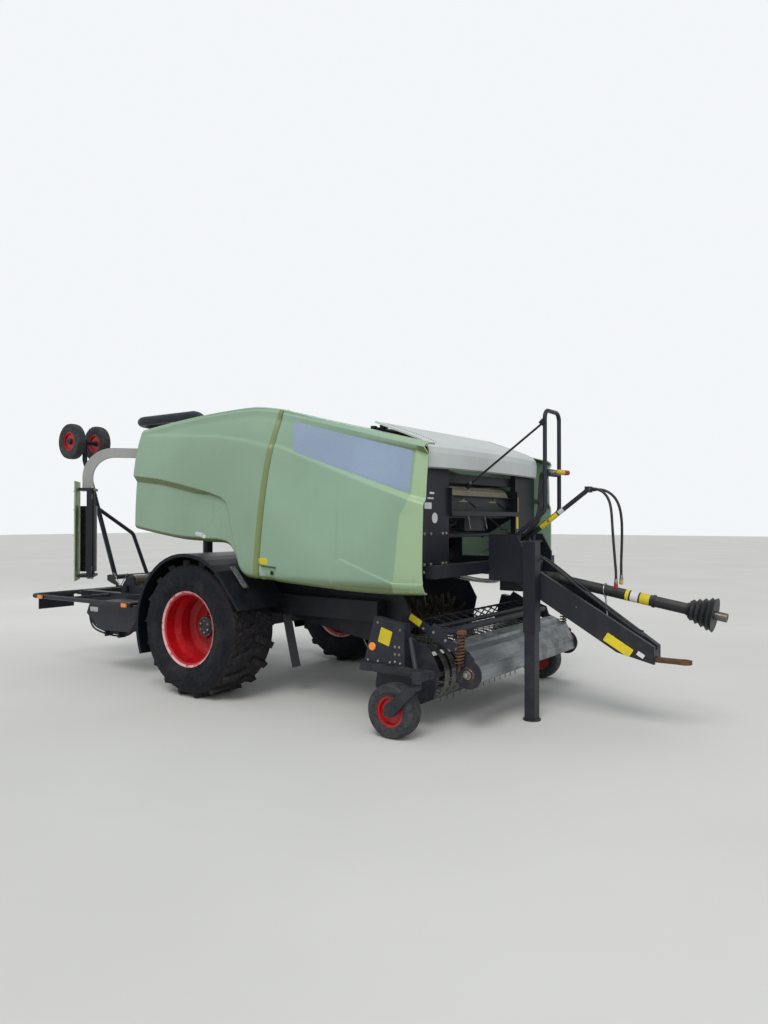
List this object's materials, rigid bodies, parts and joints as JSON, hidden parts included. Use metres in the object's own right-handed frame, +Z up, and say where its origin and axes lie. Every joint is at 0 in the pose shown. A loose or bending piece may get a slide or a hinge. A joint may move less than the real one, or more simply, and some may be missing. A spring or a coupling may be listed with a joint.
{
  "type": "towed round baler with bale wrapper",
  "caption": "Towed round baler and bale wrapper with pick-up, side covers, hood, tailgate, wrapping arms, table and bale tipper, parked on its wheels and drawbar jack.",
  "frame": {"origin": "on the ground under the middle of the machine's length and width", "axes": "+X forward to the hitch eye, +Y to the machine's left, +Z up"},
  "size_m": [7.8601, 3.002, 2.905],
  "materials": {
    "green_cover": "weathered satin gloss",
    "pale_hood": "satin",
    "anthracite_paint": "satin, dusty",
    "slate_paint": "satin, dusty",
    "light_grey_paint": "satin",
    "tyre_rubber": "dusty",
    "red_rim": "gloss",
    "black_plastic": "matt",
    "galvanised_steel": "dull zinc",
    "worn_steel": "worn",
    "forged_eye": "surface rust",
    "net_wrap": "matt net",
    "black_film": "stretch film",
    "amber_lens": "lens"
  },
  "bodies": {
    "chassis": {"chassis_frame": "anthracite_paint", "axle_beam": "anthracite_paint", "chamber_wall_right": "anthracite_paint", "chamber_wall_left": "anthracite_paint", "chamber_rollers": "worn_steel", "feed_pan": "worn_steel", "front_frame": "anthracite_paint", "front_posts": "anthracite_paint", "net_roll": "net_wrap", "net_frame": "anthracite_paint", "top_frame": "slate_paint", "drawbar_head": "anthracite_paint", "drawbar": "anthracite_paint", "hitch_eye": "forged_eye", "gearbox": "anthracite_paint", "pto_shaft": "black_plastic", "pto_yoke": "worn_steel", "jack_tube": "anthracite_paint", "hose_hoop": "slate_paint", "hose_right": "black_plastic", "hose_left": "black_plastic", "hose_plugs": "galvanised_steel", "mudguards": "black_plastic", "wrap_frame": "anthracite_paint", "gantry": "slate_paint", "bumper": "slate_paint", "lamp_board": "anthracite_paint", "side_boxes": "slate_paint", "marker_lamps": "amber_lens"},
    "wheel_right": {"tyre_right": "tyre_rubber", "rim_right": "red_rim"},
    "wheel_left": {"tyre_left": "tyre_rubber", "rim_left": "red_rim"},
    "feed_rotor_body": {"feed_rotor": "worn_steel"},
    "jack_leg_body": {"jack_leg": "slate_paint"},
    "pickup": {"pickup_frame": "slate_paint", "pickup_bands": "galvanised_steel"},
    "castor_right": {"castor_fork_right": "slate_paint"},
    "castor_left": {"castor_fork_left": "slate_paint"},
    "gauge_right": {"gauge_wheel_right": "tyre_rubber"},
    "gauge_left": {"gauge_wheel_left": "tyre_rubber"},
    "reel": {"pickup_reel": "galvanised_steel"},
    "windguard": {"windguard_sheet": "galvanised_steel", "windguard_arms": "slate_paint"},
    "hood_body": {"hood": "pale_hood"},
    "cover_front_right_body": {"cover_front_right": "green_cover"},
    "cover_front_left_body": {"cover_front_left": "green_cover"},
    "cover_rear_right_body": {"cover_rear_right": "green_cover"},
    "cover_rear_left_body": {"cover_rear_left": "green_cover"},
    "tailgate": {"tailgate_shell": "anthracite_paint", "tailgate_rollers": "worn_steel"},
    "wrap_rotor": {"wrap_arms": "light_grey_paint", "stretcher_frames": "anthracite_paint", "film_rolls": "black_film", "stretcher_covers": "green_cover"},
    "wrap_table": {"table_frame": "slate_paint", "table_rollers": "worn_steel"},
    "bale_tipper": {"tipper_frame": "slate_paint"},
    "tipper_wheel_right_body": {"tipper_wheel_right": "tyre_rubber"},
    "tipper_wheel_left_body": {"tipper_wheel_left": "tyre_rubber"}
  },
  "joints": [
    {"name": "wheel_right_spin", "type": "hinge", "parent": "chassis", "child": "wheel_right", "pos_m": [-0.5525, -1.1, 0.65], "axis": [0, 1, 0], "continuous": true},
    {"name": "wheel_left_spin", "type": "hinge", "parent": "chassis", "child": "wheel_left", "pos_m": [-0.5525, 1.1, 0.65], "axis": [0, 1, 0], "continuous": true},
    {"name": "feed_rotor_spin", "type": "hinge", "parent": "chassis", "child": "feed_rotor_body", "pos_m": [1.1875, 0, 0.7], "axis": [0, 1, 0], "continuous": true},
    {"name": "jack_slide", "type": "slide", "parent": "chassis", "child": "jack_leg_body", "axis": [0, 0, 1], "range_m": [0, 0.4]},
    {"name": "pickup_lift", "type": "hinge", "parent": "chassis", "child": "pickup", "pos_m": [1.1875, 0, 0.7], "axis": [0, -1, 0], "range_deg": [0, 12]},
    {"name": "castor_right_swivel", "type": "hinge", "parent": "pickup", "child": "castor_right", "pos_m": [1.9975, -1.395, 0.45], "axis": [0, 0, 1], "range_deg": [-25, 25]},
    {"name": "castor_left_swivel", "type": "hinge", "parent": "pickup", "child": "castor_left", "pos_m": [1.9975, 1.395, 0.45], "axis": [0, 0, 1], "range_deg": [-25, 25]},
    {"name": "gauge_right_spin", "type": "hinge", "parent": "castor_right", "child": "gauge_right", "pos_m": [1.7925, -1.395, 0.21], "axis": [0, 1, 0], "continuous": true},
    {"name": "gauge_left_spin", "type": "hinge", "parent": "castor_left", "child": "gauge_left", "pos_m": [1.7925, 1.395, 0.21], "axis": [0, 1, 0], "continuous": true},
    {"name": "reel_spin", "type": "hinge", "parent": "pickup", "child": "reel", "pos_m": [1.7475, 0, 0.42], "axis": [0, 1, 0], "continuous": true},
    {"name": "windguard_swing", "type": "hinge", "parent": "pickup", "child": "windguard", "pos_m": [1.6475, 0, 0.7], "axis": [0, -1, 0], "range_deg": [0, 15]},
    {"name": "hood_hinge", "type": "hinge", "parent": "chassis", "child": "hood_body", "pos_m": [1.3475, 0, 2.49], "axis": [0, -1, 0], "range_deg": [0, 50]},
    {"name": "cover_front_right_hinge", "type": "hinge", "parent": "chassis", "child": "cover_front_right_body", "pos_m": [1.1975, -1.078, 2.48104], "axis": [-0.9704, 0, 0.2413], "range_deg": [0, 70]},
    {"name": "cover_front_left_hinge", "type": "hinge", "parent": "chassis", "child": "cover_front_left_body", "pos_m": [1.1975, 1.078, 2.48104], "axis": [0.9704, 0, -0.2413], "range_deg": [0, 70]},
    {"name": "cover_rear_right_hinge", "type": "hinge", "parent": "chassis", "child": "cover_rear_right_body", "pos_m": [-0.3025, -1.028, 2.69], "axis": [-1, 0, 0], "range_deg": [0, 70]},
    {"name": "cover_rear_left_hinge", "type": "hinge", "parent": "chassis", "child": "cover_rear_left_body", "pos_m": [-0.3025, 1.028, 2.69], "axis": [1, 0, 0], "range_deg": [0, 70]},
    {"name": "tailgate_hinge", "type": "hinge", "parent": "chassis", "child": "tailgate", "pos_m": [0.5475, 0, 2.4], "axis": [0, 1, 0], "range_deg": [0, 38]},
    {"name": "wrap_rotor_spin", "type": "hinge", "parent": "chassis", "child": "wrap_rotor", "pos_m": [-2.2525, 0, 2.5], "axis": [0, 0, 1], "continuous": true},
    {"name": "wrap_table_tilt", "type": "hinge", "parent": "chassis", "child": "wrap_table", "pos_m": [-2.6625, 0, 0.85], "axis": [0, 1, 0], "range_deg": [0, 35]},
    {"name": "bale_tipper_fold", "type": "hinge", "parent": "chassis", "child": "bale_tipper", "pos_m": [-3.5925, 0, 0.93], "axis": [0, -1, 0], "range_deg": [0, 100]},
    {"name": "tipper_wheel_right_spin", "type": "hinge", "parent": "bale_tipper", "child": "tipper_wheel_right_body", "pos_m": [-3.7025, -0.6, 2.68], "axis": [0, 1, 0], "continuous": true},
    {"name": "tipper_wheel_left_spin", "type": "hinge", "parent": "bale_tipper", "child": "tipper_wheel_left_body", "pos_m": [-3.7025, -0.24, 2.68], "axis": [0, 1, 0], "continuous": true}
  ]
}
